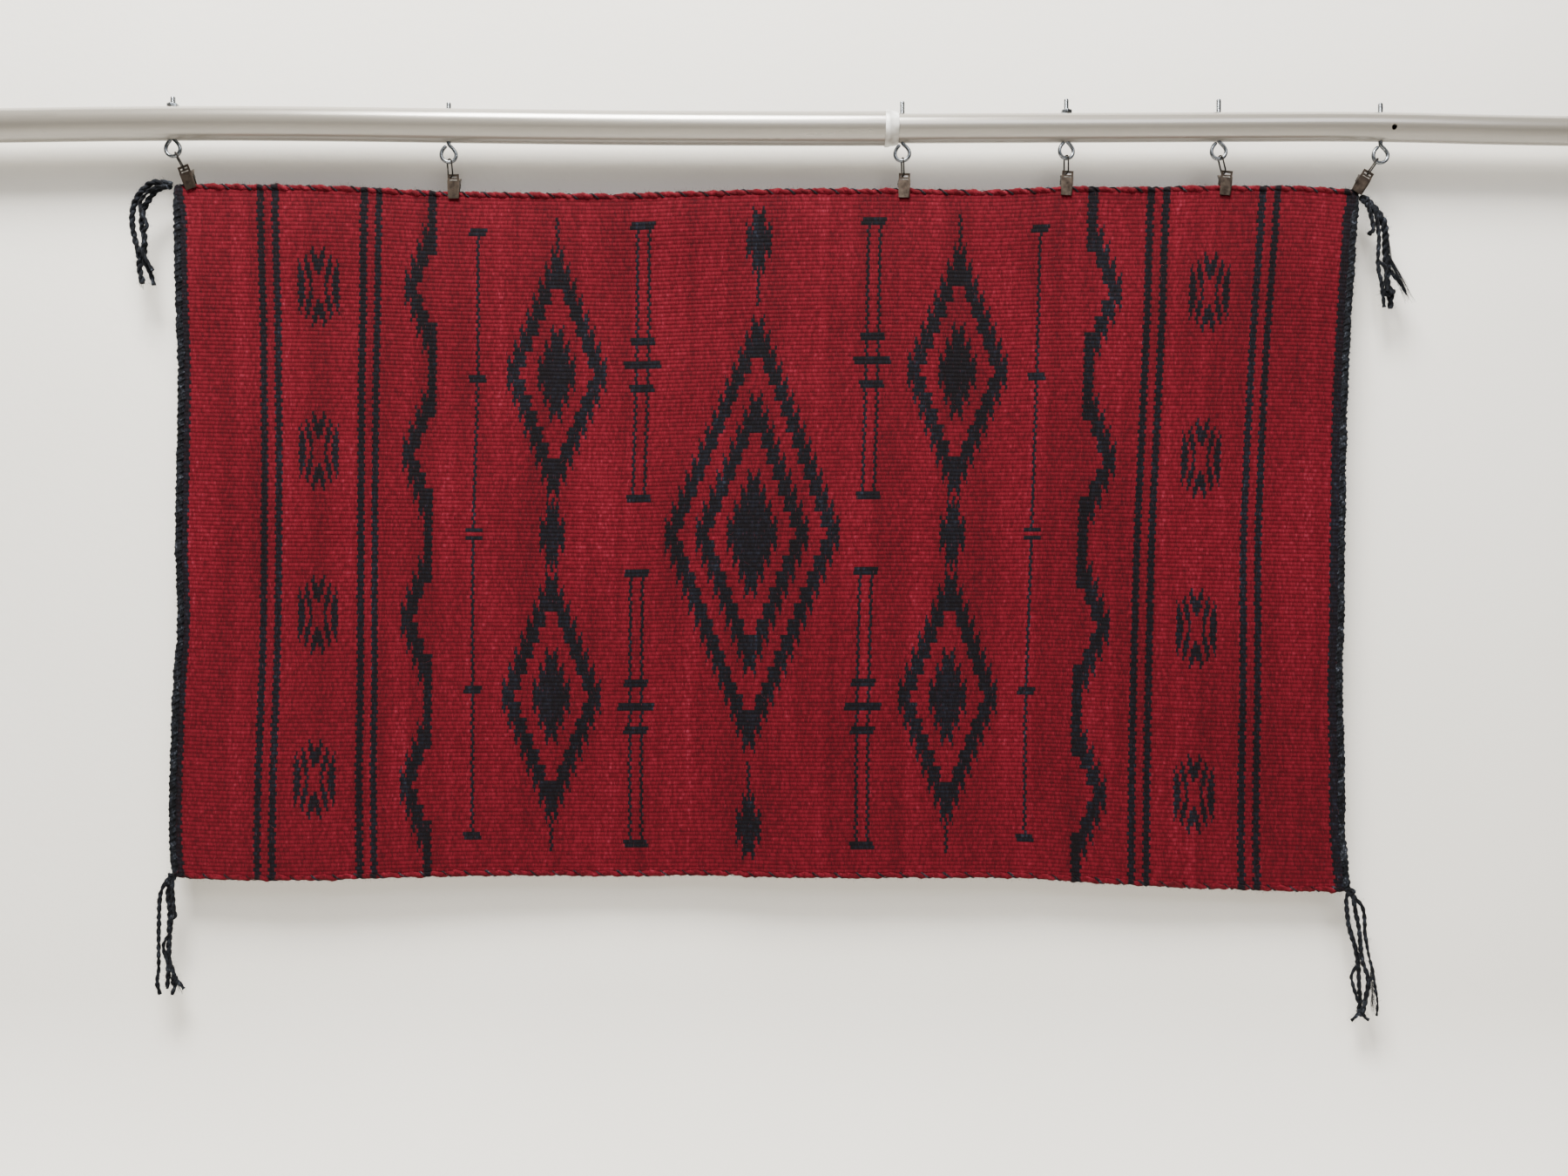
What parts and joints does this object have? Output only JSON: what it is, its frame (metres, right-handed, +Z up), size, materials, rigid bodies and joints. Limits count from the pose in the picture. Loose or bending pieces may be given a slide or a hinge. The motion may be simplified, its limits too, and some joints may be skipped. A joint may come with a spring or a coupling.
{
  "type": "navajo rug on a hanging rod",
  "caption": "Flat woven wool rug with stepped geometric motifs, twisted edge cords and corner tassels, hung by small clips and eye bolts from a white telescoping rod.",
  "frame": {"origin": "on the rod's axis where it is held up, 841 px from the left of the picture", "axes": "+X along the rod to the viewer's right, +Y away from the viewer to the wall, +Z up; the rug's face looks along -Y"},
  "size_m": [1.705, 0.0364, 0.9606],
  "materials": {
    "red_wool": "matt handspun wool, ribbed weft-faced weave",
    "black_wool": "matt plied wool yarn",
    "white_tube": "smooth white paint, slightly worn",
    "white_plastic": "smooth white",
    "zinc": "bright zinc plate",
    "bronze": "antique bronze plate",
    "dark_wire": "blackened wire"
  },
  "bodies": {
    "root": {"clip_back_1": "bronze", "clip_back_2": "bronze", "clip_back_3": "bronze", "clip_back_4": "bronze", "clip_back_5": "bronze", "clip_back_6": "bronze", "clip_front_1": "bronze", "clip_front_2": "bronze", "clip_front_3": "bronze", "clip_front_4": "bronze", "clip_front_5": "bronze", "clip_front_6": "bronze", "clip_pin_1": "bronze", "clip_pin_2": "bronze", "clip_pin_3": "bronze", "clip_pin_4": "bronze", "clip_pin_5": "bronze", "clip_pin_6": "bronze", "end_cord_left": "black_wool", "end_cord_right": "black_wool", "eye_bolt_1": "zinc", "eye_bolt_2": "zinc", "eye_bolt_3": "zinc", "eye_bolt_4": "zinc", "eye_bolt_5": "zinc", "eye_bolt_6": "zinc", "link_1": "dark_wire", "link_2": "dark_wire", "link_3": "dark_wire", "link_4": "dark_wire", "link_5": "dark_wire", "link_6": "dark_wire", "nut_1": "zinc", "nut_4": "zinc", "rod_collar": "white_plastic", "rod_left": "white_tube", "rod_right": "white_tube", "rug": "red_wool", "side_cord_bottom": "red_wool", "side_cord_top": "red_wool", "tassel_bottom_left": "black_wool", "tassel_bottom_right": "black_wool", "tassel_top_left": "black_wool", "tassel_top_right": "black_wool"}
  },
  "joints": []
}
